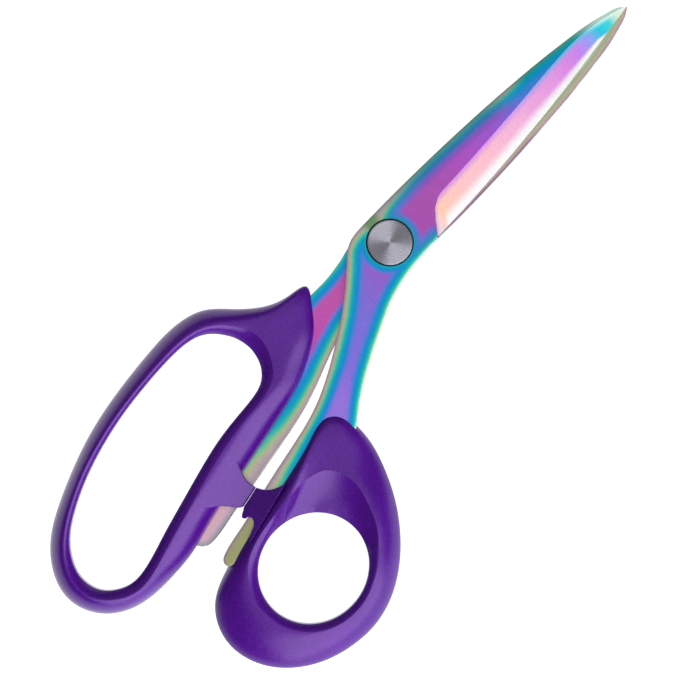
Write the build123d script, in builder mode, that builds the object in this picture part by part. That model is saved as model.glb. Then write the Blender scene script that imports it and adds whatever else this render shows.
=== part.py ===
"""Tailor's shears with straight blades and two moulded bows, closed and lying flat. Millimetres.

Frame: the origin is on the pivot's axis, at the level of the surface that the shears lie on.
+X runs from the pivot to the blade tips, +Y to the finger bow's side and +Z out of the front
face, the one with the big screw head. The thumb half (front blade, thumb bow) turns about +Z.

Each blade is drawn in its own plate frame: x as above, s across it and positive towards its
spine, and height from its inner face. The front plate's s is +Y and the back plate's is -Y.
"""

import os
from math import cos, copysign, hypot, pi, sin

from build123d import *

os.makedirs("parts", exist_ok=True)

# ---------------------------------------------------------------- driving dimensions
plate_thickness = 3.6  # of each blade at the pivot
plate_gap = 0.1  # running clearance between the two inner faces
meeting_height = 7.5  # of the plane between the blades, and of both bows' middle
bow_lift = 0.1  # both bows end this far above the level of the nut's underside
bow_height = 2 * (meeting_height - bow_lift)
tip_x = 99.3  # pivot to blade tip
front_tip_setback = 0.6  # the front blade's tip stops this far short of the back one's

shoulder_radius = 3.0  # of the screw's plain shoulder
thread_radius = 2.5
running_fit = 0.05  # radial, front blade on the shoulder
seated_fit = 0.02  # radial, pieces that are clamped and don't turn
head_radius = 6.6
head_height = 2.2
head_chamfer = 0.35
washer_thickness = 0.4
washer_radius = 7.1
nut_across_flats = 9.0
nut_chamfer_inset = 0.5  # in from the corners, on the nut's underside
nut_chamfer_rise = 0.9  # of the cut, at nut_chamfer_reach outside the corners
nut_chamfer_reach = 1.0
spring_washer_thickness = 0.45
spring_washer_radius = 5.0
spring_washer_rise = 0.15  # how much higher its bore stands than its rim

front_inner = meeting_height + plate_gap / 2
front_outer = front_inner + plate_thickness
back_inner = meeting_height - plate_gap / 2
back_outer = back_inner - plate_thickness
washer_bottom = front_outer + running_fit
head_bottom = washer_bottom + washer_thickness
nut_height = back_outer - spring_washer_thickness - spring_washer_rise

# ---------------------------------------------------------------- blades
# Spine and cutting edge, from the tip to the heel, shared by both blades.
heel_x = 11.0
spine_point = [(97, 1.6), (94, 2.7), (90, 3.8), (80, 5.5)]
spine = [spine_point[-1], (70, 6.7), (60, 7.6), (50, 8.3), (40, 8.8), (30, 9.15), (20, 9.35)]
cutting_edge = [(90, -1.3), (80, -2.8), (70, -4.2), (60, -5.4), (50, -6.4), (40, -7.3)]
cutting_edge += [(30, -8.0), (20, -8.5), (heel_x, -8.8)]

# The blank that a blade is cut from runs on past the tip, and below the cutting edge.
blank_start = [(103, -4.2), (101, -1.9)]
blank_end = [(8, -9.5), (103, -9.5), blank_start[0]]
waste = [(106, 1), (106, -12), (heel_x, -12)]

# Smooth runs round each tang, from the pivot's spine side to its edge side. The front tang
# crosses to the thumb bow, and the back tang runs straight back into the finger bow.
front_tang = [
    [(0, 9.3), (-5, 9.1), (-8, 8.5), (-10.5, 7.2), (-13, 5.0), (-16, 2.3), (-20, -1.1)],
    [(-20, -1.1), (-24, -4.2), (-28, -7.0), (-33, -10.1), (-38, -13.1), (-43, -15.8)],
    [(-43, -15.8), (-48, -18.1), (-53, -19.9), (-60, -21.7), (-70, -23.8), (-80, -26.1)],
    [(-80, -26.1), (-90, -28.6), (-99.2, -30.7)],
    [(-99.2, -30.7), (-101.0, -31.6), (-101.9, -33.0), (-101.4, -34.4), (-99.8, -34.8)],
    [(-99.8, -34.8), (-94, -33.5), (-86, -32.2), (-78, -31.3), (-70, -30.7), (-62, -30.9)],
    [(-62, -30.9), (-55, -32.2), (-50, -33.0), (-47, -32.4), (-44, -30.6), (-40, -27.5)],
    [(-40, -27.5), (-35, -24.2), (-30, -21.4), (-25, -18.8), (-20, -16.4), (-15, -14.0)],
    [(-15, -14.0), (-10, -12.1), (-5, -10.8), (0, -10.0)],
]
back_tang = [
    [(0, 9.3), (-5, 9.0), (-10, 8.2), (-16, 7.4), (-22, 7.5), (-28, 8.6), (-34, 10.4)],
    [(-34, 10.4), (-40, 12.6), (-46, 14.9), (-52, 16.8), (-60, 18.7), (-70, 20.6)],
    [(-70, 20.6), (-80, 22.4), (-90, 24.2), (-99.0, 25.7)],
    [(-99.0, 25.7), (-102.2, 25.3), (-104.1, 23.3), (-103.9, 20.6), (-101.4, 18.7)],
    [(-101.4, 18.7), (-90, 15.4), (-80, 12.9), (-70, 10.8), (-60, 9.0)],
    [(-60, 9.0), (-52, 7.0), (-45, 3.6), (-38, -1.0), (-33, -4.2), (-28, -5.4)],
    [(-28, -5.4), (-22, -5.5), (-18, -5.9), (-14, -6.6), (-10, -7.6), (-5, -8.6), (0, -9.2)],
]

# The ground bevel's upper line: it sweeps up from the heel, then runs along the blade.
crease = [(heel_x, -8.75), (12.5, -7.0), (14, -5.0), (15.5, -3.2), (17, -1.8), (18.5, -0.9)]
crease += [(20, -0.45), (25, 0.0), (30, 0.25), (40, 0.85), (50, 1.55), (60, 2.35)]
crease += [(70, 3.2), (80, 3.6), (90, 2.6), (97, 0.9), (102, 0.0)]
edge_thickness = 0.3
bevel_overrun = 0.15  # the bevel runs this far past the cutting edge
grinding_reach = 14  # the ground-off shape goes this far to each side of the blade's middle
tip_thickness = 1.7
rim_rounding = 1.0  # along the outer face's rim
plug_radius = 1.2  # the plastic of the bows runs through the hidden tangs here
front_plugs = [(-56, -27.5), (-64, -28.5)]
back_plugs = [(-56, 10.3), (-74, 14.0), (-94, 18.6)]

front_plate = Plane.XY.offset(front_inner)
back_plate = Plane(origin=(0, 0, back_inner), x_dir=(1, 0, 0), z_dir=(0, 0, -1))

# ---------------------------------------------------------------- bows
# Stations round each bow: the hole's edge and the outer edge, seen from the front.
finger_stations = [
    ((-51.4, 7.5), (-26.6, 8.2)),
    ((-52.0, 11.0), (-32.5, 10.1)),
    ((-53.5, 14.3), (-40.0, 13.1)),
    ((-56.0, 17.6), (-46.5, 18.6)),
    ((-59.5, 20.1), (-53.0, 24.6)),
    ((-64.5, 21.4), (-62.0, 27.4)),
    ((-72.0, 21.6), (-72.0, 27.4)),
    ((-82.0, 20.9), (-83.0, 26.3)),
    ((-92.0, 19.6), (-93.5, 24.7)),
    ((-102.0, 17.4), (-104.0, 22.2)),
    ((-112.0, 14.2), (-114.5, 18.5)),
    ((-121.0, 10.1), (-124.2, 14.2)),
    ((-128.5, 5.1), (-132.8, 9.0)),
    ((-132.8, -0.3), (-138.9, 2.2)),
    ((-134.6, -6.0), (-141.9, -6.3)),
    ((-133.6, -11.4), (-140.2, -14.3)),
    ((-130.3, -15.2), (-134.6, -20.7)),
    ((-125.0, -17.5), (-126.4, -24.1)),
    ((-118.0, -16.9), (-117.0, -24.7)),
    ((-108.0, -13.9), (-105.8, -23.7)),
    ((-97.5, -10.9), (-95.5, -21.1)),
    ((-87.0, -8.0), (-85.5, -19.0)),
    ((-76.5, -5.6), (-75.0, -16.9)),
    ((-67.5, -4.5), (-65.0, -14.9)),
    ((-61.0, -3.8), (-55.5, -12.8)),
    ((-57.0, -2.7), (-47.5, -10.3)),
    ((-54.2, -0.6), (-40.0, -6.5)),
    ((-52.4, 2.2), (-34.0, -2.3)),
    ((-51.6, 5.0), (-29.5, 3.0)),
]
thumb_hole_centre = (-84.0, -52.3)
thumb_hole_radii = (17.0, 15.8)
# Outer edge of the thumb bow: at each angle round the hole, in degrees, the point it faces.
thumb_stations = [
    (0, (-50.7, -51.7)),
    (15, (-48.4, -46.6)),
    (30, (-46.0, -39.5)),
    (42, (-45.1, -32.6)),
    (52, (-46.3, -26.2)),
    (62, (-50.0, -23.0)),
    (72, (-58.0, -24.4)),
    (82, (-67.5, -26.6)),
    (92, (-77.0, -28.4)),
    (104, (-87.0, -30.4)),
    (118, (-95.5, -32.4)),
    (134, (-104.0, -34.9)),
    (150, (-111.3, -38.5)),
    (165, (-116.1, -44.6)),
    (180, (-117.7, -52.0)),
    (195, (-116.2, -59.3)),
    (210, (-112.4, -65.7)),
    (225, (-106.3, -71.2)),
    (240, (-99.1, -74.9)),
    (255, (-91.0, -76.9)),
    (270, (-82.6, -77.1)),
    (285, (-74.2, -74.9)),
    (300, (-66.6, -70.6)),
    (315, (-60.0, -64.8)),
    (330, (-55.1, -58.9)),
    (345, (-52.6, -55.1)),
]
nose_height = 9.6  # the bows thin to this where they meet the steel
nose_start_x, nose_end_x = -66.0, -28.0
section_power = 2.8  # 2 is an ellipse, and more is squarer
section_points = 16
loft_run = 3  # stations in each lofted run

# The stop: a block on each bow, which meet on this line when the shears are closed.
stop_left, stop_right = (-86.0, -24.85), (-79.2, -23.35)
stop_gap = 0.12
stop_bottom, stop_top = 2.2, 12.8
finger_stop = [(-78.7, -19.0), (-80.0, -14.0), (-88.0, -15.0), (-91.2, -19.9)]
thumb_stop = [(-87.4, -25.9), (-88.5, -26.7), (-88.1, -27.6), (-87.0, -28.2), (-88.0, -30.9)]
thumb_stop += [(-78.0, -30.2), (-74.8, -27.9), (-77.0, -26.9), (-78.4, -25.3)]


def save(piece, name):
    """Writes a finished piece under the name that it is called by."""
    piece.part.label = name
    export_step(piece.part, f"parts/{name}.step")


def between(curve, x):
    """The curve's s at x, on straight lines between its points."""
    points = sorted(curve)
    for (x0, s0), (x1, s1) in zip(points, points[1:]):
        if x0 <= x <= x1:
            return s0 + (s1 - s0) * (x - x0) / (x1 - x0)
    return points[-1][1]


def make_blade(plate, tip, tang, plugs, hole_radius):
    """One blade with its tang: an overlong blank with a rounded rim, ground and cut to shape."""
    with BuildPart() as blade:
        with BuildSketch(plate):
            with BuildLine():
                Spline(*blank_start, tip, *spine_point)
                Spline(*spine, tang[0][0])
                for run in tang:
                    Spline(*run)
                Polyline(tang[-1][-1], *blank_end)
            make_face()
        extrude(amount=plate_thickness)
        outer_face = blade.faces().sort_by(Axis(plate.origin, plate.z_dir))[-1]
        fillet(outer_face.edges(), rim_rounding)
        with BuildSketch(plate):
            with BuildLine():
                Spline(*reversed(cutting_edge), tip)
                Polyline(tip, *waste, cutting_edge[-1])
            make_face()
        extrude(amount=plate_thickness, mode=Mode.SUBTRACT)
        for x, crease_s in crease:
            face_height = plate_thickness
            face_height -= (plate_thickness - tip_thickness) * (x - heel_x) / (tip_x - heel_x)
            edge_s = between([*cutting_edge, tip], x) - bevel_overrun
            station = Plane(
                origin=plate.from_local_coords((x, 0, 0)), x_dir=plate.y_dir, z_dir=plate.x_dir
            )
            with BuildSketch(station):
                Polygon(
                    (-grinding_reach, edge_thickness),
                    (edge_s, edge_thickness),
                    (crease_s, face_height),
                    (grinding_reach, face_height),
                    (grinding_reach, 2 * plate_thickness),
                    (-grinding_reach, 2 * plate_thickness),
                    align=None,
                )
        loft(ruled=True, mode=Mode.SUBTRACT)
        with BuildSketch(plate):
            Circle(hole_radius)
            with Locations(*plugs):
                Circle(plug_radius)
        extrude(amount=plate_thickness, mode=Mode.SUBTRACT)
    return blade


def nose_factor(x):
    """0 over the loop, 1 at the nose, with a smooth run between them."""
    t = min(max((x - nose_start_x) / (nose_end_x - nose_start_x), 0), 1)
    return t * t * (3 - 2 * t)


def rounded_section(width, height):
    """Points of a superellipse from the hole's edge, at 0, to the outer edge, at width."""
    points = []
    for i in range(section_points):
        c, s = cos(2 * pi * i / section_points), sin(2 * pi * i / section_points)
        across = copysign(abs(c) ** (2 / section_power), c)
        up = copysign(abs(s) ** (2 / section_power), s)
        points.append((width / 2 * (1 + across), height / 2 * up))
    return points


def bow_sections(stations):
    """A sketch across the bow at each station."""
    sketches = []
    for hole, outer in stations:
        width = hypot(outer[0] - hole[0], outer[1] - hole[1])
        height = bow_height - (bow_height - nose_height) * nose_factor(outer[0])
        across = ((outer[0] - hole[0]) / width, (outer[1] - hole[1]) / width, 0)
        plane = Plane(
            origin=(*hole, meeting_height), x_dir=across, z_dir=(across[1], -across[0], 0)
        )
        with BuildSketch(plane) as section:
            with BuildLine():
                Spline(*rounded_section(width, height), periodic=True)
            make_face()
        sketches.append(section.sketch)
    return sketches


def make_bow(stations, stop_outline, blade):
    """A closed ring lofted in short runs, with its stop block, moulded round the tang."""
    sections = bow_sections(stations)
    sections.append(sections[0])
    with BuildPart() as bow:
        for first in range(0, len(stations), loft_run):
            loft(sections[first : first + loft_run + 1])
        with BuildSketch(Plane.XY.offset(stop_bottom)):
            Polygon(*stop_outline, align=None)
        extrude(amount=stop_top - stop_bottom)
        add(blade.part, mode=Mode.SUBTRACT)
    return bow


front_blade = make_blade(
    front_plate,
    (tip_x - front_tip_setback, 0),
    front_tang,
    front_plugs,
    shoulder_radius + running_fit,
)
save(front_blade, "front_blade")

back_blade = make_blade(
    back_plate,
    (tip_x, 0),
    back_tang,
    back_plugs,
    shoulder_radius + seated_fit,
)
save(back_blade, "back_blade")

finger_bow = make_bow(finger_stations, [stop_left, stop_right, *finger_stop], back_blade)
save(finger_bow, "finger_bow")

thumb_stop_face = [(x, y - stop_gap) for x, y in (stop_right, stop_left)]
thumb_ring = []
for angle, outer_point in thumb_stations:
    hole_x = thumb_hole_centre[0] + thumb_hole_radii[0] * cos(angle * pi / 180)
    hole_y = thumb_hole_centre[1] + thumb_hole_radii[1] * sin(angle * pi / 180)
    thumb_ring.append(((hole_x, hole_y), outer_point))
thumb_bow = make_bow(thumb_ring, [*thumb_stop_face, *thumb_stop], front_blade)
save(thumb_bow, "thumb_bow")

with BuildPart() as pivot_screw:
    with BuildSketch(Plane.XY.offset(head_bottom)):
        Circle(head_radius)
    extrude(amount=head_height)
    chamfer(pivot_screw.edges().sort_by(Axis.Z)[-1], head_chamfer)
    with BuildSketch(Plane.XY.offset(back_outer)):
        Circle(shoulder_radius)
    extrude(amount=head_bottom - back_outer)
    with BuildSketch():
        Circle(thread_radius)
    extrude(amount=back_outer)
save(pivot_screw, "pivot_screw")

with BuildPart() as head_washer:
    with BuildSketch(Plane.XY.offset(washer_bottom)):
        Circle(washer_radius)
        Circle(shoulder_radius + seated_fit, mode=Mode.SUBTRACT)
    extrude(amount=washer_thickness)
save(head_washer, "head_washer")

with BuildPart() as spring_washer:
    with BuildSketch(Plane.XZ):
        bore = thread_radius + running_fit
        Polygon(
            (bore, nut_height),
            (spring_washer_radius, nut_height + spring_washer_rise),
            (spring_washer_radius, nut_height + spring_washer_rise + spring_washer_thickness),
            (bore, nut_height + spring_washer_thickness),
            align=None,
        )
    revolve(axis=Axis.Z)
save(spring_washer, "spring_washer")

with BuildPart() as pivot_nut:
    with BuildSketch():
        RegularPolygon(nut_across_flats / 2, 6, major_radius=False)
    extrude(amount=nut_height)
    with BuildSketch(Plane.XZ):
        corner = nut_across_flats / 2 / cos(pi / 6)
        outside = corner + nut_chamfer_reach
        Polygon(
            (corner - nut_chamfer_inset, 0), (outside, 0), (outside, nut_chamfer_rise), align=None
        )
    revolve(axis=Axis.Z, mode=Mode.SUBTRACT)
    with BuildSketch():
        Circle(thread_radius + seated_fit)
    extrude(amount=nut_height, mode=Mode.SUBTRACT)
save(pivot_nut, "pivot_nut")
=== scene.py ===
"""The looks of the craft shears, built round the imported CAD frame.

Lengths are written in millimetres in the row frame: the pivot is at x = y = 0, +X runs to the
blade tips, +Y to the finger bow and +Z out of the face with the screw head. Meshes are made in
millimetres and scaled to metres as they become objects.
"""

import math

import bmesh
import bpy
import numpy as np
from mathutils import Matrix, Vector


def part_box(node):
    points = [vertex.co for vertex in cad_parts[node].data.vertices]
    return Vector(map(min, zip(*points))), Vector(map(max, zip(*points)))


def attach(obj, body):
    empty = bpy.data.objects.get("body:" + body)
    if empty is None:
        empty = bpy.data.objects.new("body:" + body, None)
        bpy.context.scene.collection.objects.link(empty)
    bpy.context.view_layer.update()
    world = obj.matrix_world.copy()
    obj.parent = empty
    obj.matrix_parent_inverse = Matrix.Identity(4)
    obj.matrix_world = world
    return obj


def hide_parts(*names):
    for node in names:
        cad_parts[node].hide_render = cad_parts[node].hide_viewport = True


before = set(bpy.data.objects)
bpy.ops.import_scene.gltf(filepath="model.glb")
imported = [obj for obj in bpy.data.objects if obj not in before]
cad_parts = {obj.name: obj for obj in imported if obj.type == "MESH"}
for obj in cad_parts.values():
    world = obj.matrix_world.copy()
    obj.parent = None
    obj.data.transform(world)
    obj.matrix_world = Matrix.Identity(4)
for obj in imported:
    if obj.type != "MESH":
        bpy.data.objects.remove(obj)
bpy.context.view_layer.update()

MM = 0.001
MIDDLE = 7.5  # height of the plane where the blades meet
PLATE = 3.6  # thickness of each blade at the pivot
GAP = 0.05  # from that plane to each inner face
STOP_GAP = 0.12  # left between the two stops when the shears are closed

# ---------------------------------------------------------------- outlines, front view
TIP_X = {"front": 98.7, "back": 99.3}
HEEL_X = 11.0
SPINE = [(97, 1.6), (94, 2.7), (90, 3.8), (80, 5.5), (70, 6.7), (60, 7.6), (50, 8.3),
         (40, 8.8), (30, 9.15), (20, 9.35), (8, 9.4)]
CUTTING_EDGE = [(95, -0.6), (90, -1.3), (80, -2.8), (70, -4.2), (60, -5.4), (50, -6.4),
                (40, -7.3), (30, -8.0), (20, -8.5), (11.4, -8.8)]
RICASSO = [(11.0, -9.1), (10.2, -9.35), (8, -9.4)]
CREASE = [(98.5, 0.35), (97, 0.8), (90, 2.5), (85, 3.3), (80, 3.7), (73, 3.45), (67, 3.0),
          (60, 2.35), (50, 1.55), (40, 0.85), (30, 0.25), (25, 0.0), (20, -0.45),
          (18.5, -0.95), (17, -1.8), (15.5, -3.2), (14, -5.0), (12.5, -7.0), (11.3, -8.5)]

# Each tang's two sides, from beside the pivot to the point at its far end. s is y on the front
# plate and -y on the back one.
FRONT_SPINE_SIDE = [(0, 9.3), (-5, 9.1), (-8, 8.5), (-10.5, 7.2), (-13, 5.0), (-16, 2.3),
                    (-20, -1.1), (-24, -4.2), (-28, -7.0), (-33, -10.1), (-38, -13.1),
                    (-43, -15.8), (-48, -18.1), (-53, -19.9), (-60, -21.7), (-70, -23.8),
                    (-80, -26.1), (-90, -28.6), (-99.2, -30.7), (-101.2, -31.8)]
FRONT_TANG_END = (-101.9, -33.1)
FRONT_EDGE_SIDE = [(0, -10.0), (-5, -10.8), (-10, -12.1), (-15, -14.0), (-20, -16.4),
                   (-25, -18.8), (-30, -21.4), (-35, -24.2), (-40, -27.5), (-44, -30.6),
                   (-47, -32.4), (-50, -33.0), (-55, -32.2), (-62, -30.9), (-70, -30.7),
                   (-78, -31.3), (-86, -32.2), (-94, -33.5), (-99.4, -34.7), (-101.2, -34.4)]
BACK_SPINE_SIDE = [(0, 9.3), (-5, 9.0), (-10, 8.2), (-16, 7.4), (-22, 7.5), (-28, 8.6),
                   (-34, 10.4), (-40, 12.6), (-46, 14.9), (-52, 16.8), (-60, 18.7),
                   (-70, 20.6), (-80, 22.4), (-90, 24.2), (-99.0, 25.7), (-102.2, 25.2)]
BACK_TANG_END = (-104.2, 22.4)
BACK_EDGE_SIDE = [(0, -9.2), (-5, -8.6), (-10, -7.6), (-14, -6.6), (-18, -5.9), (-22, -5.5),
                  (-28, -5.4), (-33, -4.2), (-38, -1.0), (-45, 3.6), (-52, 7.0), (-60, 9.0),
                  (-70, 10.8), (-80, 12.9), (-90, 15.4), (-101.4, 18.8), (-103.5, 20.3)]

# Stations round the finger bow: a point on the hole, one on the crease above its inner chamfer,
# one on the outer edge, and how boxy the outer side is (2 is an ellipse, less is a slope).
FINGER_STATIONS = [
    (-51.4, 7.5, -47.2, 7.5, -26.6, 8.2, 1.9),
    (-52.0, 11.0, -47.9, 11.0, -32.5, 10.1, 1.9),
    (-53.5, 14.3, -49.8, 14.3, -40.0, 13.1, 1.8),
    (-56.0, 17.6, -52.7, 18.0, -46.5, 18.6, 1.7),
    (-59.5, 20.1, -57.5, 21.2, -53.0, 24.6, 1.6),
    (-64.5, 21.4, -64.0, 22.8, -62.0, 27.4, 1.6),
    (-72.0, 21.6, -72.0, 22.9, -72.0, 27.4, 1.6),
    (-82.0, 20.9, -82.1, 22.2, -83.0, 26.3, 1.6),
    (-92.0, 19.6, -92.2, 20.9, -93.5, 24.7, 1.6),
    (-102.0, 17.4, -102.3, 18.8, -104.0, 22.2, 1.6),
    (-112.0, 14.2, -112.5, 15.6, -114.5, 18.5, 1.6),
    (-121.0, 10.1, -121.6, 11.4, -124.2, 14.2, 1.6),
    (-128.5, 5.1, -129.5, 6.3, -132.8, 9.0, 1.6),
    (-132.8, -0.3, -134.8, 0.6, -138.9, 2.2, 1.6),
    (-134.6, -6.0, -137.3, -5.8, -141.9, -6.3, 1.6),
    (-133.6, -11.4, -136.5, -12.0, -140.2, -14.3, 1.6),
    (-130.3, -15.2, -132.0, -17.4, -134.6, -20.7, 1.6),
    (-125.0, -17.5, -125.4, -20.4, -126.4, -24.1, 1.6),
    (-118.0, -16.9, -117.8, -19.7, -117.0, -24.7, 1.5),
    (-108.0, -13.9, -107.6, -16.7, -105.8, -23.7, 1.5),
    (-97.5, -10.9, -97.2, -13.8, -95.5, -21.1, 1.5),
    (-87.0, -8.0, -86.8, -10.8, -85.5, -19.0, 1.7),
    (-76.5, -5.6, -76.2, -8.4, -75.0, -16.9, 1.7),
    (-67.5, -4.5, -67.0, -7.0, -65.0, -14.9, 1.6),
    (-61.0, -3.8, -60.0, -6.3, -55.5, -12.8, 1.6),
    (-57.0, -2.7, -55.3, -5.2, -47.5, -10.3, 1.6),
    (-54.2, -0.6, -51.7, -3.0, -40.0, -6.5, 1.6),
    (-52.4, 2.2, -49.2, 0.4, -34.0, -2.3, 1.9),
    (-51.6, 5.0, -47.7, 4.0, -29.5, 3.0, 1.9),
]
# The same round the thumb bow, where the chamfer widens into a dish. The hole is an ellipse, so
# its points are given by their angle in degrees.
THUMB_HOLE = (-84.0, -52.3)
THUMB_HOLE_RADII = (17.0, 15.8)
THUMB_STATIONS = [
    (0, -59.3, -50.8, -50.7, -51.7, 1.5),
    (15, -57.6, -44.6, -48.4, -46.6, 1.5),
    (30, -58.1, -38.8, -46.0, -39.5, 1.8),
    (42, -60.6, -34.7, -45.1, -32.6, 3.0),
    (52, -64.2, -32.8, -46.3, -26.2, 4.2),
    (62, -68.2, -32.1, -50.0, -23.0, 3.6),
    (72, -72.6, -32.3, -58.0, -24.4, 2.4),
    (82, -77.4, -32.8, -67.5, -26.6, 1.8),
    (92, -82.4, -33.3, -77.0, -28.4, 1.6),
    (104, -87.8, -34.2, -87.0, -30.4, 1.5),
    (118, -93.3, -35.9, -95.5, -32.4, 1.5),
    (134, -97.8, -38.8, -104.0, -34.9, 1.5),
    (150, -101.1, -42.8, -111.3, -38.5, 1.5),
    (165, -103.0, -47.4, -116.1, -44.6, 1.5),
    (180, -103.4, -52.2, -117.7, -52.0, 1.5),
    (195, -102.7, -57.1, -116.2, -59.3, 1.5),
    (210, -100.7, -61.5, -112.4, -65.7, 1.5),
    (225, -97.6, -65.2, -106.3, -71.2, 1.45),
    (240, -93.7, -68.0, -99.1, -74.9, 1.4),
    (255, -89.1, -69.7, -91.0, -76.9, 1.4),
    (270, -84.0, -70.2, -82.6, -77.1, 1.4),
    (285, -79.0, -69.5, -74.2, -74.9, 1.4),
    (300, -74.5, -67.7, -66.6, -70.6, 1.4),
    (315, -70.4, -65.2, -60.0, -64.8, 1.4),
    (330, -66.2, -61.5, -55.1, -58.9, 1.4),
    (345, -62.2, -57.0, -52.6, -55.1, 1.4),
]
# The two sides of each bow's stop, from the line where the stops meet into the bow.
STOP_LINE = ((-79.2, -23.35), (-85.8, -24.8))
FINGER_STOP = [
    [(-79.2, -23.35), (-79.7, -20.5), (-78.9, -17.1), (-76.8, -12.9), (-75.0, -10.6)],
    [(-85.8, -24.8), (-87.0, -24.1), (-88.7, -21.9), (-90.8, -19.7), (-93.2, -17.8), (-95.6, -16.4)],
]
THUMB_STOP = [
    [(-79.2, -23.35), (-78.3, -25.0), (-76.9, -26.5), (-74.6, -27.8), (-72.0, -28.6)],
    [(-85.8, -24.8), (-87.4, -25.8), (-88.5, -26.6), (-88.1, -27.5), (-86.7, -27.9), (-86.4, -29.0),
     (-87.4, -30.6), (-90.2, -32.0), (-92.0, -33.6)],
]
CREST = 7.4  # half the bows' thickness
NOSE_CREST = 4.8  # and half of it where they meet the steel
NOSE_FROM_X, NOSE_TO_X = -66.0, -28.0


# ---------------------------------------------------------------- curves and meshes
def cubic(points, at, closed=False):
    """Rows on the cubic spline through the rows of points, at fractions of its length."""
    rows = np.array(points, float).reshape(len(points), -1)
    if closed:
        rows = np.vstack([rows, rows[:1]])
    steps = np.diff(rows, axis=0)
    gaps = np.sqrt((steps**2).sum(axis=1))
    knots = np.concatenate([[0], np.cumsum(gaps)])
    last = len(knots) - 1
    system, right = np.zeros((last + 1, last + 1)), np.zeros_like(rows)
    slopes = steps / gaps[:, None]
    for i in range(1, last):
        system[i, i - 1 : i + 2] = gaps[i - 1], 2 * (gaps[i - 1] + gaps[i]), gaps[i]
        right[i] = 6 * (slopes[i] - slopes[i - 1])
    system[0, 0] = system[last, last] = 1
    if closed:
        system[0, last] = -1
        system[last, [0, 1]] += 2 * gaps[0], gaps[0]
        system[last, [last - 1, last]] += gaps[-1], 2 * gaps[-1] - 1
        right[last] = 6 * (slopes[0] - slopes[-1])
    bend = np.linalg.solve(system, right)
    length = np.asarray(at, float) * knots[-1]
    k = np.clip(np.searchsorted(knots, length, side="right") - 1, 0, last - 1)
    gap = gaps[k][:, None]
    a = (knots[k + 1] - length)[:, None] / gap
    b = 1 - a
    bulge = ((a**3 - a) * bend[k] + (b**3 - b) * bend[k + 1]) * gap**2 / 6
    return a * rows[k] + b * rows[k + 1] + bulge


def smoothstep(value, low, high):
    """0 below low and 1 above high, with a smooth run between them."""
    t = np.clip((value - low) / (high - low), 0, 1)
    return t * t * (3 - 2 * t)


CHUNK = 2000  # points measured at a time, to bound the memory


def distance_to_line(points, line):
    """Each point's distance to a run of straight segments, both in plan."""
    starts, runs = line[:-1], np.diff(line, axis=0)
    square = np.maximum((runs**2).sum(axis=1), 1e-12)
    best = np.empty(len(points))
    for first in range(0, len(points), CHUNK):
        part = points[first : first + CHUNK]
        away = part[:, None, :] - starts[None]
        along = np.clip((away * runs).sum(axis=2) / square, 0, 1)
        gap = away - along[..., None] * runs
        best[first : first + CHUNK] = np.sqrt((gap**2).sum(axis=2)).min(axis=1)
    return best


def new_piece(name, vertices, faces, attributes=None):
    """A smooth-shaded mesh object from millimetres, with float attributes on its vertices."""
    mesh = bpy.data.meshes.new(name)
    mesh.from_pydata([tuple(v) for v in np.asarray(vertices) * MM], [], faces)
    for key, values in (attributes or {}).items():
        layer = mesh.attributes.new(key, "FLOAT", "POINT")
        layer.data.foreach_set("value", np.asarray(values, np.float32))
    mesh.validate()
    mesh.shade_smooth()
    piece = bpy.data.objects.new(name, mesh)
    bpy.context.scene.collection.objects.link(piece)
    return piece


def clean(piece, sharp_degrees, merge=0.002):
    """Merges doubles, turns the faces outwards and makes the steeper edges sharp."""
    bm = bmesh.new()
    bm.from_mesh(piece.data)
    bmesh.ops.remove_doubles(bm, verts=bm.verts, dist=merge * MM)
    bmesh.ops.dissolve_degenerate(bm, dist=1e-8, edges=bm.edges)
    bmesh.ops.recalc_face_normals(bm, faces=bm.faces)
    limit = math.radians(sharp_degrees)
    for edge in bm.edges:
        edge.smooth = len(edge.link_faces) != 2 or edge.calc_face_angle() < limit
    for face in bm.faces:
        face.smooth = True
    bm.to_mesh(piece.data)
    bm.free()


def ring_faces(rings, points, closed):
    """Quads between rings of points, with end caps unless the rings close on themselves."""
    faces = []
    for i in range(rings if closed else rings - 1):
        here, there = i * points, (i + 1) % rings * points
        for j in range(points):
            k = (j + 1) % points
            faces.append((here + j, here + k, there + k, there + j))
    if not closed:
        faces.append(tuple(range(points))[::-1])
        faces.append(tuple((rings - 1) * points + j for j in range(points)))
    return faces


def boolean(piece, other, operation):
    """Applies a boolean with the other object, which is used up."""
    change = piece.modifiers.new("boolean", "BOOLEAN")
    change.object, change.operation, change.solver = other, operation, "EXACT"
    bpy.context.view_layer.update()
    shape = piece.evaluated_get(bpy.context.evaluated_depsgraph_get())
    piece.data = bpy.data.meshes.new_from_object(shape)
    piece.modifiers.clear()
    bpy.data.objects.remove(other)


def cylinder(name, radius, low, high, segments=96):
    """A closed cylinder on the pivot's axis."""
    turns = np.linspace(0, 2 * math.pi, segments, endpoint=False)
    rings = [(radius * math.cos(t), radius * math.sin(t), z) for z in (low, high) for t in turns]
    return new_piece(name, rings, ring_faces(2, segments, False))


# ---------------------------------------------------------------- materials
def linear(colour):
    """Scene-linear colour from the 0 to 255 values of a screen."""
    parts = [c / 255 for c in colour]
    return tuple(c / 12.92 if c <= 0.04045 else ((c + 0.055) / 1.055) ** 2.4 for c in parts) + (1,)


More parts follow.
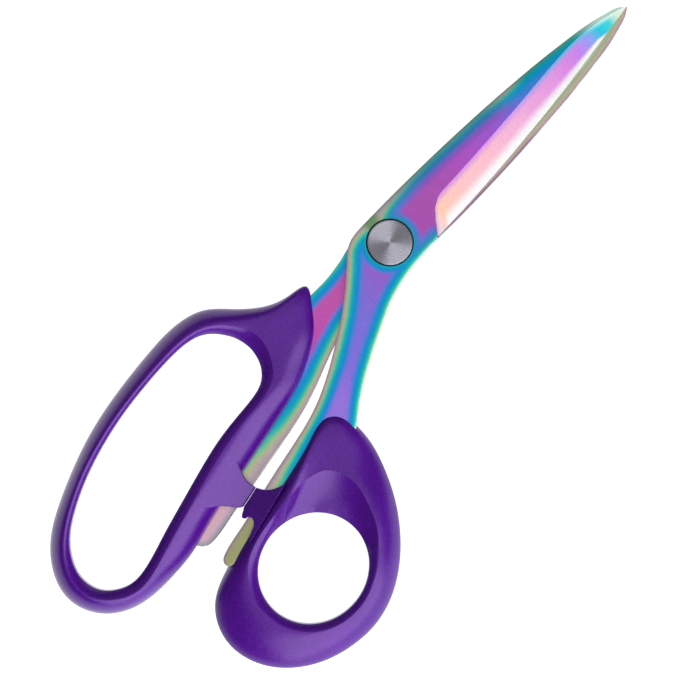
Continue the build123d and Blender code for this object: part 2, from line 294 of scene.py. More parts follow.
class Shader:
    """A Principled material and short ways to add and join its nodes."""

    def __init__(self, name, values=None):
        self.material = bpy.data.materials.new(name)
        self.material.use_nodes = True
        self.tree = self.material.node_tree
        self.surface = self.tree.nodes["Principled BSDF"]
        for socket, value in (values or {}).items():
            self.surface.inputs[socket].default_value = value

    def add(self, kind, settings=None, **inputs):
        """A node of this kind. Its inputs are given by name, or by number as i0, i1 and so on."""
        node = self.tree.nodes.new("ShaderNode" + kind)
        for key, value in (settings or {}).items():
            setattr(node, key, value)
        for key, value in inputs.items():
            by_number = key[0] == "i" and key[1:].isdigit()
            socket = node.inputs[int(key[1:]) if by_number else key]
            if isinstance(value, bpy.types.NodeSocket):
                self.tree.links.new(value, socket)
            else:
                socket.default_value = value
        return node

    def set(self, name, socket):
        """Joins a socket to one of the shader's own inputs."""
        self.tree.links.new(socket, self.surface.inputs[name])

    def place(self):
        return self.add("TexCoord").outputs["Object"]

    def axes(self):
        return self.add("SeparateXYZ", i0=self.place()).outputs

    def attribute(self, name):
        return self.add("Attribute", {"attribute_name": name}).outputs["Fac"]

    def math(self, operation, a, b=0.0):
        return self.add("Math", {"operation": operation}, i0=a, i1=b).outputs[0]

    def fraction(self, value, low, high, smooth=False):
        """0 at low and 1 at high, which may be the smaller one."""
        kind = {"interpolation_type": "SMOOTHSTEP" if smooth else "LINEAR"}
        return self.add("MapRange", kind, i0=value, i1=low, i2=high).outputs[0]

    def ramp(self, value, stops):
        """Colours at positions from 0 to 1 of the value."""
        ramp = self.add("ValToRGB", i0=value)
        elements = ramp.color_ramp.elements
        elements[0].position, elements[0].color = stops[0][0], linear(stops[0][1])
        elements[1].position, elements[1].color = stops[-1][0], linear(stops[-1][1])
        for position, colour in stops[1:-1]:
            elements.new(position).color = linear(colour)
        return ramp.outputs["Color"]

    def along_x(self, stops):
        """A ramp whose stops are at x in millimetres."""
        low, high = stops[0][0], stops[-1][0]
        x = self.fraction(self.axes()[0], low * MM, high * MM)
        return self.ramp(x, [((at - low) / (high - low), colour) for at, colour in stops])

    def mix(self, factor, a, b, blend="MIX"):
        node = self.add("Mix", {"data_type": "RGBA", "blend_type": blend}, i0=factor, i6=a, i7=b)
        return node.outputs[2]

    def noise(self, scale, stretch=(1, 1, 1), detail=2.0, roughness=0.5):
        """Noise whose cells are 1 / scale millimetres, divided by stretch along each axis."""
        place = self.add("Mapping", Vector=self.place(), Scale=[s * scale / MM for s in stretch])
        inputs = {"Vector": place.outputs[0], "Scale": 1.0, "Detail": detail, "Roughness": roughness}
        return self.add("TexNoise", **inputs).outputs[0]

    def bump(self, height, distance, strength=1.0):
        node = self.add("Bump", Height=height, Distance=distance * MM, Strength=strength)
        self.set("Normal", node.outputs[0])


# Colours of the coating against millimetres from the rim: on the tangs, on the broad part of the
# blades, towards the tips and on the inner faces.
TANG_FILM = [
    (0.0, (156, 144, 150)), (0.5, (176, 160, 168)), (0.95, (178, 174, 150)),
    (1.2, (162, 184, 138)), (1.55, (112, 190, 148)), (2.0, (62, 178, 170)),
    (2.5, (26, 164, 184)), (3.1, (20, 150, 196)), (3.7, (34, 136, 204)),
    (4.3, (70, 130, 212)), (5.0, (100, 120, 214)), (7.0, (116, 110, 212)),
]
BLADE_FILM = [
    (0.0, (118, 142, 136)), (0.75, (80, 148, 146)), (1.25, (54, 142, 158)),
    (1.75, (46, 128, 166)), (2.25, (54, 116, 172)), (2.75, (74, 108, 178)),
    (3.25, (102, 102, 188)), (3.75, (124, 92, 188)), (4.3, (142, 86, 186)), (7.0, (154, 80, 180)),
]
TIP_FILM = [
    (0.0, (136, 142, 138)), (0.6, (98, 142, 130)), (1.1, (56, 146, 138)), (1.6, (22, 148, 162)),
    (2.2, (12, 142, 182)), (3.0, (30, 134, 196)), (4.0, (60, 126, 204)), (7.0, (90, 120, 208)),
]
INNER_FILM = [
    (0.0, (140, 112, 134)), (0.5, (152, 124, 144)), (1.0, (184, 164, 158)),
    (1.6, (180, 178, 150)), (2.2, (160, 174, 138)), (3.0, (192, 202, 184)), (7.0, (214, 220, 218)),
]
FILM_SPAN = 7.0
FILM_DRIFT = 0.6  # millimetres between the furthest that the bands wander each way
CORE_FROM, CORE_TO = 4.2, 5.8  # from the rim, where the bands give way to the core colours
# Where the sets of bands change along x, from and to.
BROAD_STARTS, BROAD_ENDS = (-3, 24), (46, 60)
TIP_STARTS, TIP_PALES, TANG_ENDS = (50, 64), (80, 92), (-80, -87)
PALE = (214, 236, 224)

# Colours of the core along x, and of the bands at the tang's far end.
FRONT_CORE = [(-105, (128, 112, 212)), (-42, (148, 116, 216)), (-34, (132, 112, 216)),
              (-20, (124, 112, 212)), (-8, (146, 98, 200)), (2, (158, 88, 182)),
              (10, (168, 84, 174)), (22, (170, 86, 176)), (36, (172, 86, 196)),
              (46, (150, 92, 204)), (54, (112, 104, 206)), (60, (60, 124, 204)),
              (67, (40, 150, 194)), (76, (60, 170, 180)), (99, (130, 214, 208))]
BACK_CORE = [(-105, (150, 84, 190)), (-52, (146, 90, 200)), (-42, (164, 80, 186)),
             (-33, (188, 84, 172)), (-22, (190, 88, 168)), (-10, (180, 84, 168)),
             (30, (150, 80, 170)), (99, (130, 100, 180))]
# At the front tang's end, the first stops on the rim are its grey darkened further: painted shade
# that dulls the rim's highlight.
FRONT_END = [(0.0, (130, 122, 122)), (0.5, (152, 138, 130)), (1.0, (158, 152, 120)),
             (1.8, (150, 156, 108)), (7.0, (162, 146, 128))]
BACK_END = [(0.0, (144, 142, 154)), (0.8, (162, 156, 168)), (1.3, (184, 160, 180)),
            (2.0, (206, 168, 186)), (7.0, (214, 168, 158))]
STAIN = ((0.3, 8.4), 3.6, (112, 146, 108))  # a tinted patch: its centre, radius and colour
# Colours of the ground bevel along x, at its crease and further down, then white to the edge as a
# painted highlight.
GROUND = {
    "crease": [(11, (214, 160, 220)), (22, (206, 146, 222)), (40, (212, 150, 230)),
               (50, (206, 150, 236)), (60, (182, 160, 236)), (68, (130, 174, 238)),
               (75, (90, 190, 222)), (84, (90, 196, 212)), (88, (150, 234, 232)),
               (92, (196, 240, 226)), (98, (228, 236, 220))],
    "middle": [(11, (236, 214, 224)), (14, (240, 212, 216)), (17, (252, 203, 178)),
               (22, (253, 200, 190)), (30, (252, 196, 202)), (40, (250, 190, 208)),
               (50, (244, 182, 218)), (60, (238, 168, 226)), (68, (234, 156, 232)),
               (75, (222, 142, 236)), (80, (198, 138, 244)), (84, (150, 160, 244)),
               (88, (48, 196, 224)), (92, (70, 212, 216)), (95, (212, 232, 208)),
               (98, (240, 240, 240))],
}
MIDDLE_AT = 0.24  # of the bevel's width, where its middle colours are pure
# Across the bevel's width, where the painted white highlight starts and where it is full.
WHITE_FROM, WHITE_TO = 0.5, 0.9
WHITE_SETBACK = 0.22  # how much later the painted white highlight starts at the tip
SETBACK_STARTS = (55, 85)
# The bevel's pale ground steel brightened to white: a painted highlight along the cutting edge.
GROUND_HIGHLIGHT_WHITE = (250, 248, 251)
GROUND_PAINTED_SHADE = (157, 157, 157)  # painted shade: darkens the whole bevel, which faces the key light


def film_colour(shader, core, end):
    """The coating's colour by the distance from the rim and the place along the blade."""
    drift = shader.math("SUBTRACT", shader.noise(0.12, (1, 2, 1)), 0.5)
    drift = shader.math("MULTIPLY", drift, FILM_DRIFT)
    film = shader.fraction(shader.math("ADD", shader.attribute("film"), drift), 0, FILM_SPAN)
    x = shader.axes()[0]

    def banded(stops):
        return shader.ramp(film, [(at / FILM_SPAN, colour) for at, colour in stops])

    def along(start, stop):
        return shader.fraction(x, start * MM, stop * MM, smooth=True)

    broad = shader.math("MULTIPLY", along(*BROAD_STARTS), along(*reversed(BROAD_ENDS)))
    colour = shader.mix(broad, banded(TANG_FILM), banded(BLADE_FILM))
    colour = shader.mix(along(*TIP_STARTS), colour, banded(TIP_FILM))
    inside = shader.fraction(film, CORE_FROM / FILM_SPAN, CORE_TO / FILM_SPAN, smooth=True)
    colour = shader.mix(inside, colour, shader.along_x(core))
    colour = shader.mix(along(*TANG_ENDS), colour, banded(end))
    pale = shader.mix(0.7, colour, linear(PALE))
    colour = shader.mix(along(*TIP_PALES), colour, pale)
    return shader.mix(shader.attribute("inner"), colour, banded(INNER_FILM))


def stained(shader, colour, stain):
    """The colour with a soft round patch of another one."""
    centre, radius, tint = stain
    start = [c * MM for c in centre] + [0]
    off = shader.add("VectorMath", {"operation": "SUBTRACT"}, i0=shader.place(), i1=start)
    off = shader.add("VectorMath", {"operation": "MULTIPLY"}, i0=off.outputs[0], i1=(1, 1, 0))
    off = shader.add("VectorMath", {"operation": "LENGTH"}, i0=off.outputs[0]).outputs["Value"]
    patch = shader.fraction(off, radius * MM, 0.3 * radius * MM, smooth=True)
    return shader.mix(patch, colour, linear(tint))


def with_bevel(shader, colour):
    """The colour with the ground bevel's colours over it: a painted white highlight towards the
    edge, and painted shade over the whole bevel.
    """
    across = shader.attribute("ground")
    crease, middle = shader.along_x(GROUND["crease"]), shader.along_x(GROUND["middle"])
    bevel = shader.mix(shader.fraction(across, 0.0, MIDDLE_AT), crease, middle)
    # Painted highlight: white over the bevel's outer part, starting a little later near the tip.
    near_tip = shader.fraction(shader.axes()[0], *(x * MM for x in SETBACK_STARTS))
    setback = shader.math("MULTIPLY", near_tip, WHITE_SETBACK)
    white_from = shader.math("ADD", setback, WHITE_FROM)
    white = shader.fraction(across, white_from, WHITE_TO, smooth=True)
    bevel = shader.mix(white, bevel, linear(GROUND_HIGHLIGHT_WHITE))
    # Painted shade, darkening the whole bevel.
    bevel = shader.mix(1.0, bevel, linear(GROUND_PAINTED_SHADE), "MULTIPLY")
    return shader.mix(shader.fraction(across, 0.0, 0.015), colour, bevel)


def coated_steel(name, core, end, stain=None):
    """Steel with an interference coating, brushed across its length."""
    shader = Shader(name, {"Metallic": 1.0})
    colour = film_colour(shader, core, end)
    if stain:
        colour = stained(shader, colour, stain)
    colour = with_bevel(shader, colour)
    brushed = shader.noise(1.6, (5, 0.25, 1), detail=4.0)
    tone = shader.ramp(brushed, [(0.25, (226, 226, 226)), (0.75, (255, 255, 255))])
    shader.set("Base Color", shader.mix(1.0, colour, tone, "MULTIPLY"))
    fleck = shader.noise(3.0, (1, 1, 1), detail=3.0)
    shader.set("Roughness", shader.math("ADD", shader.math("MULTIPLY", fleck, 0.10), 0.24))
    shader.bump(brushed, 0.006)
    return shader.material


def violet_plastic():
    """Glossy moulded plastic with a faint mottle and a fine grain."""
    shader = Shader("violet_plastic", {"Specular Tint": (0.85, 0.62, 1, 1)})
    mottle = shader.noise(0.09, detail=3.0)
    base = shader.ramp(mottle, [(0.3, (74, 8, 131)), (0.7, (82, 11, 139))])
    grain = shader.noise(2.2, detail=5.0, roughness=0.6)
    fleck = shader.ramp(grain, [(0.32, (166, 152, 188)), (0.68, (255, 255, 255))])
    shader.set("Base Color", shader.mix(1.0, base, fleck, "MULTIPLY"))
    shader.set("Roughness", shader.math("ADD", shader.math("MULTIPLY", grain, 0.1), 0.2))
    shader.bump(grain, 0.05)
    return shader.material


TOOL_MARKS = 5200.0  # of the lathe, to a metre


def turned_steel():
    """Bright steel turned on a lathe: rings round the pivot's axis."""
    finish = {"Metallic": 1.0, "Anisotropic": 1.0, "Anisotropic Rotation": 0.25}
    shader = Shader("turned_steel", finish)
    x, y, _ = shader.axes()
    square = shader.math("ADD", shader.math("MULTIPLY", x, x), shader.math("MULTIPLY", y, y))
    radius = shader.math("SQRT", square)
    lathe = {"W": radius, "Scale": TOOL_MARKS, "Detail": 3.0}
    rings = shader.add("TexNoise", {"noise_dimensions": "1D"}, **lathe).outputs[0]
    shader.set("Base Color", shader.ramp(rings, [(0.3, (150, 148, 160)), (0.7, (200, 197, 209))]))
    shader.set("Roughness", shader.math("ADD", shader.math("MULTIPLY", rings, 0.14), 0.5))
    tangent = shader.add("Tangent", {"direction_type": "RADIAL", "axis": "Z"})
    shader.set("Tangent", tangent.outputs[0])
    shader.bump(rings, 0.01)
    return shader.material


def plain_steel():
    """Bare steel with small, uneven wear."""
    shader = Shader("plain_steel", {"Metallic": 1.0})
    wear = shader.noise(0.8, detail=4.0)
    shader.set("Base Color", shader.ramp(wear, [(0.3, (176, 175, 180)), (0.7, (214, 213, 217))]))
    shader.set("Roughness", shader.math("ADD", shader.math("MULTIPLY", wear, 0.2), 0.2))
    shader.bump(shader.noise(3.0, detail=3.0), 0.008)
    return shader.material


def black_washer():
    """Dull black with a fine grain."""
    shader = Shader("black_washer", {"Roughness": 0.45, "Specular IOR Level": 0.12})
    grain = shader.noise(3.0, detail=3.0)
    shader.set("Base Color", shader.ramp(grain, [(0.3, (3, 18, 26)), (0.7, (8, 28, 36))]))
    shader.bump(grain, 0.01)
    return shader.material


# ---------------------------------------------------------------- blades
RIB_SPACING, HEEL_RIB_SPACING = 0.6, 0.2
TIP_RIBS, TANG_RIBS = 26, 260
TIP_END_X, HEEL_END_X = 94, 22  # the ribs are closer together beyond these
RIM_WIDTH, RIM_DROP = 1.6, 0.23  # how far in and down the outer face's rim is rounded
RIM_FADE = 0.7  # the share of that drop which fades out along x towards the two far ends
TIP_FADE, TANG_FADE = (66, 90), (84, 92)
INNER_CHAMFER = 0.15
HOLLOW = 0.14  # depth of the inner face's hollow grind
EDGE_THICKNESS = 0.14
STEEPEST = 0.46  # slope of the bevel, which leaves the edge thicker at the very tip
COVE_WIDTH = 0.16  # of the small hollow curve along the crease
HEEL_CREASE = (10.0, -0.35)  # where the bevel's plane would start at the heel
TIP_THICKNESS = 1.7
BLADE_SHARP = 24  # edges steeper than this many degrees stay sharp
ACROSS_TOP, ACROSS_BEVEL = 24, 18  # quads across a rib on each side of the crease
LEAST_SHARE, MOST_SHARE = 0.12, 0.985  # of a rib's length, for where the crease may lie
PIVOT_HOLE = {"front": 3.05, "back": 3.02}

# The bands of the coating are wider or narrower along the tangs, at these x, and they crowd
# together at the shoulder, round the screw and at the tip.
STRETCH_AT = (-88, -80, -74, -66, -57, -45, -33)
STRETCH = {
    "front": (1, 0.42, 0.5, 0.85, 1.1, 1.2, 1),
    "back": (1, 0.3, 0.34, 0.46, 0.68, 0.93, 1),
}
LOWER_RIM_FILM = {"front": 1.0, "back": 1.7}  # where the bands start on the cutting edge's side
SHOULDER, SHOULDER_REACH, SHOULDER_SQUEEZE = (2, 8.5), 5, 0.62
HEAD_RING, HEAD_FILM = 7.0, 2.1
TIP_NARROWS = (44, 64)


def eased(count):
    """Fractions from 0 to 1, closer together at both ends."""
    return (1 - np.cos(np.linspace(0, math.pi, count + 1))) / 2


def side_line(points, samples=2400):
    """Rows along the smooth curve through the points."""
    return cubic(points, np.linspace(0, 1, samples))


def at_x(line, xs):
    """The line's y at each x."""
    order = np.argsort(line[:, 0])
    return np.interp(xs, line[order, 0], line[order, 1])


def rib_ends(plate, spine_side, tang_end, edge_side):
    """The two ends of each rib across the plate, from the tip to the tang's far end."""
    tip = (TIP_X[plate], 0)
    spine = side_line([tip, *SPINE, *spine_side, tang_end])
    edge = side_line([tip, *CUTTING_EDGE])
    back = side_line([RICASSO[-1], *edge_side, tang_end])
    xs = np.concatenate([
        np.linspace(tip[0] - 0.03, TIP_END_X, TIP_RIBS),
        np.arange(TIP_END_X - RIB_SPACING, HEEL_END_X, -RIB_SPACING),
        np.arange(HEEL_END_X, HEEL_X + 0.4, -HEEL_RIB_SPACING),
    ])
    before_pivot = spine[spine[:, 0] > 0]
    blade_top = np.column_stack([xs, at_x(before_pivot, xs)])
    blade_low = np.column_stack([xs, at_x(edge, xs)])
    heel_low = np.array(RICASSO, float)
    heel_low[-1, 0] = 9.2
    heel_top = np.column_stack([heel_low[:, 0], at_x(before_pivot, heel_low[:, 0])])
    after = spine[spine[:, 0] < RICASSO[-1][0]]
    shares = np.linspace(0, 1, TANG_RIBS)[:-1] * 0.9995
    tang_top = after[(shares * (len(after) - 1)).astype(int)]
    tang_low = back[(shares * (len(back) - 1)).astype(int)]
    top = np.vstack([blade_top, heel_top, tang_top])
    low = np.vstack([blade_low, heel_low, tang_low])
    return top, low, spine[::4], np.vstack([RICASSO, back[::4]])


def crease_share(top, low):
    """How far along each rib, from its spine end, the crease or its guide line lies."""
    share = np.empty(len(top))
    blade = top[:, 0] > HEEL_X + 0.3
    crease = at_x(side_line(CREASE), top[blade, 0])
    share[blade] = (top[blade, 1] - crease) / (top[blade, 1] - low[blade, 1])
    share[~blade] = MOST_SHARE - 0.36 * smoothstep(-top[~blade, 0], -HEEL_X, 6)
    return np.clip(share, LEAST_SHARE, MOST_SHARE), blade


def film_coordinate(plate, points, to_spine, to_lower):
    """Millimetres from the rim, stretched or squeezed where the coating's bands are."""
    x, y = points.T
    film = np.minimum(to_spine, to_lower + LOWER_RIM_FILM[plate])
    film *= np.interp(x, STRETCH_AT, STRETCH[plate])
    to_shoulder = (x - SHOULDER[0]) ** 2 + (y - SHOULDER[1]) ** 2
    film *= 1 - SHOULDER_SQUEEZE * np.exp(-to_shoulder / SHOULDER_REACH**2)
    narrow = smoothstep(x, *TIP_NARROWS)
    film = (1 - narrow) * film + narrow * np.minimum(0.9 * film + 0.5, 5)
    if plate == "front":
        from_head = np.maximum(np.hypot(x, y) - HEAD_RING, 0)
        film = np.minimum(film, from_head * 1.25 + HEAD_FILM)
    return film


def ground_bevel(grid, height, blade):
    """Grinds the bevel into the outer face; returns 0 to 1 across it, and -1 elsewhere."""
    crease = side_line(CREASE, 700)
    full = np.vstack([crease[crease[:, 0] > HEEL_END_X], [HEEL_CREASE]])
    ground = np.full(height.shape, -1.0)
    for rib in np.flatnonzero(blade):
        x, ys = grid[rib, 0, 0], grid[rib, ACROSS_TOP:, 1]
        start = at_x(full, x)
        share = np.clip((start - ys) / (start - ys[-1]), 0, 1)
        rim = height[rib, ACROSS_TOP]
        edge = max(EDGE_THICKNESS, rim - STEEPEST * (start - ys[-1]))
        plane = rim + share * (edge - rim)
        off = distance_to_line(grid[rib, ACROSS_TOP:], crease)
        cove = np.clip(1 - off / COVE_WIDTH, 0, 1) ** 2 * smoothstep(start - ys[0], 0, 1.5)
        height[rib, ACROSS_TOP:] = plane + (rim - plane) * cove
        ground[rib, ACROSS_TOP:] = np.minimum(share, 0.2 * off)
    return ground


def outer_height(x, near):
    """Height of the plate's outer face, with its rounded rim and before the bevel is ground."""
    taper = np.clip((x - HEEL_X) / (99 - HEEL_X), 0, 1)
    drop = RIM_DROP * (1 - RIM_FADE * smoothstep(x, *TIP_FADE))
    drop *= 1 - RIM_FADE * smoothstep(-x, *TANG_FADE)
    height = PLATE - (PLATE - TIP_THICKNESS) * taper
    return height - drop * np.clip(1 - near / RIM_WIDTH, 0, 1) ** 2


def make_blade(plate, spine_side, tang_end, edge_side):
    """A blade and its tang as ribs from spine to edge, each a loop over both faces."""
    top, low, spine, lower = rib_ends(plate, spine_side, tang_end, edge_side)
    share, blade = crease_share(top, low)
    up, down = eased(ACROSS_TOP), eased(ACROSS_BEVEL)[1:]
    across = np.hstack([share[:, None] * up, share[:, None] + (1 - share[:, None]) * down])
    grid = top[:, None, :] + across[..., None] * (low - top)[:, None, :]
    ribs, count = grid.shape[:2]
    flat = grid.reshape(-1, 2)
    to_spine, to_lower = distance_to_line(flat, spine), distance_to_line(flat, lower)
    film = film_coordinate(plate, flat, to_spine, to_lower).reshape(ribs, count)
    near = np.minimum(to_spine, to_lower).reshape(ribs, count)
    height = outer_height(grid[..., 0], near)
    ground = ground_bevel(grid, height, blade)
    to_edge = distance_to_line(flat, low[blade]).reshape(ribs, count)
    on_blade = smoothstep(grid[..., 0], HEEL_X, HEEL_X + 8)
    inner = np.maximum(INNER_CHAMFER - near, 0)
    inner += HOLLOW * smoothstep(np.minimum(near, to_edge), 0.4, 5) * on_blade
    inner = np.minimum(inner, height - 0.1)
    sections = np.concatenate([
        np.dstack([grid, height]), np.dstack([grid, inner])[:, ::-1],
    ], axis=1)
    attributes = {
        "film": np.hstack([film, film[:, ::-1]]).ravel(),
        "ground": np.hstack([ground, np.full((ribs, count), -1.0)]).ravel(),
        "inner": np.hstack([0 * on_blade, on_blade]).ravel(),
    }
    points = sections.reshape(-1, 3)
    if plate == "front":
        points = points + (0, 0, MIDDLE + GAP)
    else:
        points = points * (1, -1, -1) + (0, 0, MIDDLE - GAP)
    faces = ring_faces(ribs, 2 * count, False)
    piece = new_piece(f"{plate}_blade_coated", points, faces, attributes)
    clean(piece, BLADE_SHARP)
    boolean(piece, cylinder("hole", PIVOT_HOLE[plate], 2, 13), "DIFFERENCE")
    clean(piece, BLADE_SHARP)
    return piece


# ---------------------------------------------------------------- bows
BOW_SHARP = 15
CHAMFER_SLOPE = 0.72  # of the inner chamfer, which never cuts the wall below this share
LEAST_WALL = 0.36
HOLLOW_SHARE, CROWN_SHARE = 0.05, 0.13  # of the chamfer's width, where it is wide or narrow


def crest_height(x):
    """Half the bow's thickness at the outer edge's x."""
    return CREST - (CREST - NOSE_CREST) * smoothstep(x, NOSE_FROM_X, NOSE_TO_X)


def bow_section(width, power, crest):
    """The upper half of a section, as (across, up).

    across is 0 at the hole, 1 at the crease and 2 at the outer edge.
    """
    wall = max(LEAST_WALL * crest, crest - CHAMFER_SLOPE * width)
    points = [(0, 0), (0, wall * 0.5), (0.03 / width, wall - 0.3), (0.14 / width, wall - 0.07)]
    lip = 0.3 / width
    hollow = HOLLOW_SHARE * smoothstep(width, 5, 9)
    crown = CROWN_SHARE * (1 - smoothstep(width, 3, 5))
    for t in np.linspace(0, 1, 8):
        sag = (hollow - crown) * width * math.sin(math.pi * t)
        points.append((lip + (1 - lip) * t, wall + (crest - wall) * t - sag))
    for t in np.linspace(0, math.pi / 2, 24)[1:]:
        up = max(math.cos(t), 0) ** (2 / power) if t < math.pi / 2 - 1e-6 else 0.0
        points.append((1 + math.sin(t) ** (2 / power), crest * up))
    return np.array(points)


def make_bow(name, stations, stop, samples):
    """A closed ring of sections through the stations, joined with its stop."""
    rows = cubic(stations, np.linspace(0, 1, samples, endpoint=False), closed=True)
    vertices = []
    for row in rows:
        hole, crease, outer = row[0:2], row[2:4], row[4:6]
        half = bow_section(np.linalg.norm(crease - hole), row[6], crest_height(outer[0]))
        loop = np.vstack([half, (half * (1, -1))[-2:0:-1]])
        for across, up in loop:
            if across < 1:
                x, y = hole + (crease - hole) * across
            else:
                x, y = crease + (outer - crease) * (across - 1)
            vertices.append((x, y, MIDDLE + up))
    points = len(vertices) // samples
    piece = new_piece(name, vertices, ring_faces(samples, points, True))
    clean(piece, BOW_SHARP)
    boolean(piece, stop, "UNION")
    clean(piece, BOW_SHARP)
    return piece


def make_stop(sides, above, below, rounding=0.6):
    """A web whose faces slope from the bow to the line where the stops meet.

    above and below are half heights at that line and how fast they grow away from it.
    """
    right, left = (cubic(side, np.linspace(0, 1, 14)) for side in sides)
    outline = np.vstack([right, left[::-1]])
    start, end = np.array(STOP_LINE)
    along = (end - start) / np.linalg.norm(end - start)
    away = np.abs((outline - start) @ (-along[1], along[0]))
    low, high = (half + rise * away for half, rise in (below, above))
    vertices = np.vstack([
        np.column_stack([outline, MIDDLE - low]), np.column_stack([outline, MIDDLE + high]),
    ])
    web = new_piece("web", vertices, ring_faces(2, len(outline), False))
    bevel = web.modifiers.new("bevel", "BEVEL")
    bevel.width, bevel.segments, bevel.limit_method = rounding * MM, 4, "ANGLE"
    bevel.angle_limit = math.radians(30)
    shape = web.evaluated_get(bpy.context.evaluated_depsgraph_get())
    web.data = bpy.data.meshes.new_from_object(shape)
    web.modifiers.clear()
    clean(web, 30)
    return web


# ---------------------------------------------------------------- pivot
HEAD_HEIGHT, HEAD_ROUNDING = 2.2, 0.4
GROOVE_PITCH, GROOVE_DEPTH = 0.7, 0.036
SHOULDER_RADIUS = 3.0
THREAD_RADIUS, THREAD_PITCH = 2.5, 0.4
SCREW_SEGMENTS = 128


def make_screw():
    """The screw, turned: a grooved head with a soft rim, a shoulder and a threaded end."""
    low_corner, high_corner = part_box("pivot_screw")
    low, high, head_radius = low_corner.z / MM, high_corner.z / MM, high_corner.x / MM
    profile = [(0.0, high - 0.06)]
    for radius in np.arange(0.25, head_radius - 0.5, 0.1):
        groove = GROOVE_DEPTH / 2 * (1 + math.cos(radius * 2 * math.pi / GROOVE_PITCH))
        profile.append((radius, high - 0.02 - groove))
    for turn in np.linspace(0, math.pi / 2, 7):
        radius = head_radius - HEAD_ROUNDING + HEAD_ROUNDING * math.sin(turn)
        profile.append((radius, high - HEAD_ROUNDING + 0.38 * math.cos(turn)))
    head_low, shoulder_low = high - HEAD_HEIGHT, MIDDLE - GAP - PLATE
    profile += [(head_radius, head_low + 0.1), (head_radius - 0.1, head_low)]
    profile += [(SHOULDER_RADIUS, head_low), (SHOULDER_RADIUS, shoulder_low)]
    profile.append((THREAD_RADIUS, shoulder_low))
    for z in np.arange(3.6, 0.5, -THREAD_PITCH):
        profile += [(THREAD_RADIUS, z), (THREAD_RADIUS - 0.2, z - THREAD_PITCH / 2)]
    profile += [(THREAD_RADIUS, 0.4), (THREAD_RADIUS - 0.3, 0.05), (0.0, low)]
    turns = np.linspace(0, 2 * math.pi, SCREW_SEGMENTS, endpoint=False)
    vertices = [(r * math.cos(t), r * math.sin(t), z) for r, z in profile for t in turns]
    faces = ring_faces(len(profile), SCREW_SEGMENTS, False)
    piece = new_piece("turned_screw", vertices, faces)
    clean(piece, 40)
    return piece


# ---------------------------------------------------------------- assembly
def finish_piece(piece, node, body, material):
    """Gives a piece its material, and puts it on its body in place of its CAD node."""
    piece.data.materials.clear()
    piece.data.materials.append(material)
    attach(piece, body)
    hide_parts(node)


front = make_blade("front", FRONT_SPINE_SIDE, FRONT_TANG_END, FRONT_EDGE_SIDE)
steel = coated_steel("front_coated_steel", FRONT_CORE, FRONT_END, STAIN)
finish_piece(front, "front_blade", "thumb_half", steel)

back = make_blade("back", BACK_SPINE_SIDE, BACK_TANG_END, BACK_EDGE_SIDE)
steel = coated_steel("back_coated_steel", BACK_CORE, BACK_END)
finish_piece(back, "back_blade", "finger_half", steel)

plastic = violet_plastic()
finger_stop = make_stop(FINGER_STOP, above=(2.05, 0.385), below=(4.0, 0.24))
finger = make_bow("finger_bow_moulded", FINGER_STATIONS, finger_stop, 420)
finish_piece(finger, "finger_bow", "finger_half", plastic)

thumb_rows = []
for angle, *rest in THUMB_STATIONS:
    turn = math.radians(angle)
    hole_x = THUMB_HOLE[0] + THUMB_HOLE_RADII[0] * math.cos(turn)
    hole_y = THUMB_HOLE[1] + THUMB_HOLE_RADII[1] * math.sin(turn)
    thumb_rows.append((hole_x, hole_y, *rest))
thumb_sides = [[(x, y - STOP_GAP) for x, y in side] for side in THUMB_STOP]
thumb_stop = make_stop(thumb_sides, above=(2.6, 0.55), below=(2.6, 0.5))
thumb = make_bow("thumb_bow_moulded", thumb_rows, thumb_stop, 360)
finish_piece(thumb, "thumb_bow", "thumb_half", plastic)

finish_piece(make_screw(), "pivot_screw", "finger_half", turned_steel())

nut_steel = plain_steel()
for node, material in (
    ("head_washer", black_washer()),
    ("spring_washer", nut_steel),
    ("pivot_nut", nut_steel),
):
    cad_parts[node].data.materials.clear()
    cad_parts[node].data.materials.append(material)


# ---------------------------------------------------------------- stage
VIEW_CENTRE = (-30.8, -9.8)
VIEW_WIDTH = 200.8  # at the height of the blades' front face
VIEW_TURN = math.radians(44.9)  # the shears' long axis from the picture's right
CAMERA_HEIGHT = 2.4  # in metres, above that face
SENSOR = 36.0
FLOOR_HALF = 4000
WORLD_STRENGTH = 0.14


def make_floor():
    """A pale floor that lights itself, so that it stays plain."""
    glow = {"Roughness": 0.9, "Emission Color": (1, 1, 1, 1), "Emission Strength": 0.95}
    shader = Shader("pale_floor", glow)
    grain = shader.noise(0.02, detail=2.0)
    shader.set("Base Color", shader.ramp(grain, [(0.3, (150, 150, 150)), (0.7, (154, 154, 154))]))
    half = FLOOR_HALF
    corners = [(-half, -half, 0), (half, -half, 0), (half, half, 0), (-half, half, 0)]
    floor = new_piece("floor", corners, [(0, 1, 2, 3)])
    floor.data.materials.append(shader.material)


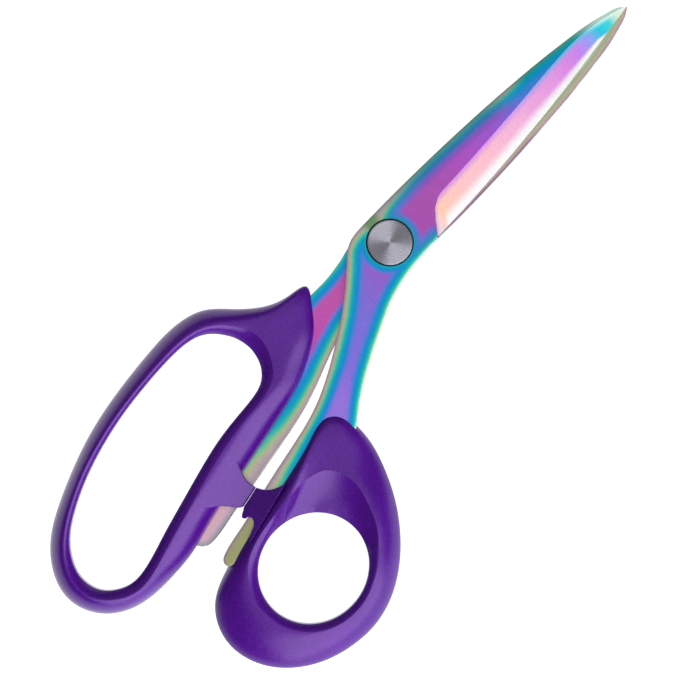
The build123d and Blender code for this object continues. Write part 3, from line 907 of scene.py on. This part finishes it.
def softbox(name, azimuth, elevation, distance, size, radiance):
    """A rectangular light that faces the view's centre.

    Angles are in degrees, azimuth from +X, and distance and size are in metres.
    """
    light = bpy.data.lights.new(name, "AREA")
    light.shape, light.size, light.size_y = "RECTANGLE", *size
    light.energy = radiance * math.pi * size[0] * size[1]
    lamp = bpy.data.objects.new(name, light)
    bpy.context.scene.collection.objects.link(lamp)
    turn, lift = math.radians(azimuth), math.radians(elevation)
    lamp.location = (
        distance * math.cos(lift) * math.cos(turn) + VIEW_CENTRE[0] * MM,
        distance * math.cos(lift) * math.sin(turn) + VIEW_CENTRE[1] * MM,
        distance * math.sin(lift),
    )
    lamp.rotation_euler = (math.pi / 2 - lift, 0, turn + math.pi / 2)


def make_world():
    """Faint even light from all round."""
    world = bpy.data.worlds.new("studio")
    world.use_nodes = True
    background = world.node_tree.nodes["Background"]
    background.inputs["Color"].default_value = (1, 1, 1, 1)
    background.inputs["Strength"].default_value = WORLD_STRENGTH
    bpy.context.scene.world = world


def make_camera():
    """A camera straight above the view's centre."""
    camera_data = bpy.data.cameras.new("camera")
    camera_data.sensor_width = SENSOR
    camera_data.lens = SENSOR * CAMERA_HEIGHT / (VIEW_WIDTH * MM)
    camera_data.clip_end = 20
    camera = bpy.data.objects.new("camera", camera_data)
    bpy.context.scene.collection.objects.link(camera)
    c, s = math.cos(VIEW_TURN), math.sin(VIEW_TURN)
    height = CAMERA_HEIGHT + (MIDDLE + PLATE) * MM
    camera.matrix_world = Matrix((
        (c, s, 0, VIEW_CENTRE[0] * MM),
        (-s, c, 0, VIEW_CENTRE[1] * MM),
        (0, 0, 1, height),
        (0, 0, 0, 1),
    ))
    bpy.context.scene.camera = camera


make_floor()
make_world()
make_camera()
softbox("key", azimuth=260, elevation=35, distance=1.0, size=(1.75, 1.2), radiance=3.6)
softbox("fill", azimuth=85, elevation=30, distance=1.1, size=(1.2, 0.9), radiance=0.14)
softbox("top", azimuth=270, elevation=89.9, distance=1.2, size=(1.5, 1.5), radiance=0.95)
bpy.context.scene.view_settings.view_transform = "Standard"
